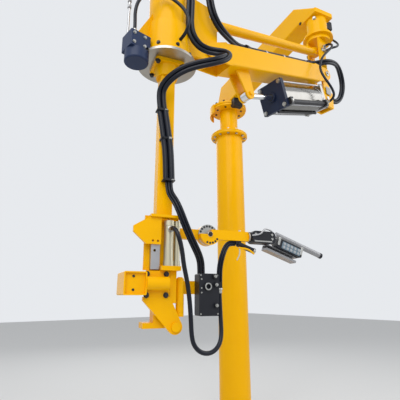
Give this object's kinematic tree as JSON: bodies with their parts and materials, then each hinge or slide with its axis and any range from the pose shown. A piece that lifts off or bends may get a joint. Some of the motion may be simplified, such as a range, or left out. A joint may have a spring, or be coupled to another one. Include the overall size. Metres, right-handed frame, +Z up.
{
  "type": "material handling manipulator",
  "caption": "Pedestal-mounted pneumatic handling manipulator: swinging inner arm, lifting parallelogram boom, swivel head, vertical mast and a clamping tool with a handlebar.",
  "frame": {"origin": "centre of the base plate's underside, on the floor", "axes": "+Z up the column; +X against the boom, from the head towards the elbow; +Y away from the inner arm"},
  "size_m": [2.4222, 2.142, 4.0183],
  "materials": {
    "machine_yellow": "gloss",
    "steel": "satin",
    "chrome": "polished",
    "aluminium": "satin",
    "dark_plate": "satin",
    "black_plastic": "matte",
    "grip_rubber": "matte",
    "hose_black": "satin",
    "caliper_blue": "satin"
  },
  "bodies": {
    "pedestal": {"base_plate": "machine_yellow", "column_tube": "machine_yellow", "upper_column": "machine_yellow", "swivel_disc": "machine_yellow"},
    "inner_arm": {"arm_flange": "machine_yellow", "inner_arm": "machine_yellow", "elbow_housing": "machine_yellow", "arm_calipers": "caliper_blue"},
    "yoke": {"yoke_frame": "machine_yellow", "yoke_pins": "steel", "elbow_hose": "hose_black"},
    "boom": {"boom_tube": "machine_yellow", "boom_rear_fork": "machine_yellow", "boom_front_fork": "machine_yellow", "boom_gusset": "machine_yellow", "boom_conduit": "hose_black", "yoke_hose": "hose_black"},
    "parallel_rod": {"parallel_rod": "machine_yellow"},
    "lift_cylinder": {"cylinder_rear": "aluminium", "cylinder_barrel": "aluminium", "cylinder_front": "dark_plate", "cylinder_pipes": "dark_plate", "cylinder_hose": "hose_black"},
    "piston_rod": {"piston_rod": "chrome"},
    "head": {"head_housing": "machine_yellow", "head_bracket": "machine_yellow", "head_pins": "steel", "head_caliper": "caliper_blue", "head_air_rod": "steel", "head_caliper_hose": "hose_black", "head_hose_up": "hose_black"},
    "mast": {"brake_disc": "steel", "mast_tube": "machine_yellow", "tool_frame": "machine_yellow", "tool_rail": "steel", "clamp_cylinders": "aluminium", "carriage_block": "machine_yellow", "manifold": "black_plastic", "handle_stub": "machine_yellow", "mast_conduit": "hose_black", "head_hose_down": "hose_black", "manifold_hose": "hose_black", "tool_loop_hose": "hose_black"},
    "upper_jaw": {"upper_jaw": "machine_yellow"},
    "handlebar": {"index_disc": "steel", "handlebar": "machine_yellow", "handle_knuckle": "black_plastic", "handle_arm": "steel", "control_panel": "black_plastic", "handle_grips": "grip_rubber", "hand_lever": "black_plastic", "handle_hose": "hose_black"}
  },
  "joints": [
    {"name": "column_swivel", "type": "hinge", "parent": "pedestal", "child": "inner_arm", "pos_m": [0, 0, 3.68], "axis": [0, 0, 1], "range_deg": [-150, 150]},
    {"name": "elbow_swivel", "type": "hinge", "parent": "inner_arm", "child": "yoke", "pos_m": [-0.34219, -1.54352, 3.5603], "axis": [0, 0, 1], "range_deg": [-50, 150], "deforming": ["elbow_hose"]},
    {"name": "boom_lift", "type": "hinge", "parent": "yoke", "child": "boom", "pos_m": [-0.38719, -1.54352, 3.156], "axis": [0, 1, 0], "range_deg": [-18, 30], "deforming": ["yoke_hose", "cylinder_hose", "head_hose_up"]},
    {"name": "rod_swing", "type": "hinge", "parent": "yoke", "child": "parallel_rod", "pos_m": [-0.38719, -1.54352, 3.403], "axis": [0, 1, 0], "range_deg": [-19, 31]},
    {"name": "cylinder_swing", "type": "hinge", "parent": "yoke", "child": "lift_cylinder", "pos_m": [-0.38719, -1.54352, 2.939], "axis": [0, 1, 0], "range_deg": [-20, 32]},
    {"name": "cylinder_stroke", "type": "slide", "parent": "lift_cylinder", "child": "piston_rod", "axis": [-0.9524, 0, -0.3049], "range_m": [-0.07, 0.11]},
    {"name": "head_level", "type": "hinge", "parent": "boom", "child": "head", "pos_m": [-1.59722, -1.54352, 2.79757], "axis": [0, 1, 0], "range_deg": [-31, 19]},
    {"name": "mast_swivel", "type": "hinge", "parent": "head", "child": "mast", "pos_m": [-1.86522, -1.54352, 2.635], "axis": [0, 0, 1], "range_deg": [-90, 90], "deforming": ["head_hose_down"]},
    {"name": "jaw_slide", "type": "slide", "parent": "mast", "child": "upper_jaw", "axis": [0, 0, 1], "range_m": [0, 0.05]},
    {"name": "handle_tilt", "type": "hinge", "parent": "mast", "child": "handlebar", "pos_m": [-1.64458, -1.61593, 1.694], "axis": [0.2706, 0.9627, 0], "range_deg": [-30, 30], "deforming": ["handle_hose"]}
  ],
  "couplings": [
    {"joint": "rod_swing", "follows": "boom_lift", "ratio": 1},
    {"joint": "head_level", "follows": "boom_lift", "ratio": -1},
    {"joint": "cylinder_swing", "follows": "boom_lift", "ratio": 1.04},
    {"joint": "cylinder_stroke", "follows": "boom_lift", "m_per_rad": 0.195}
  ]
}
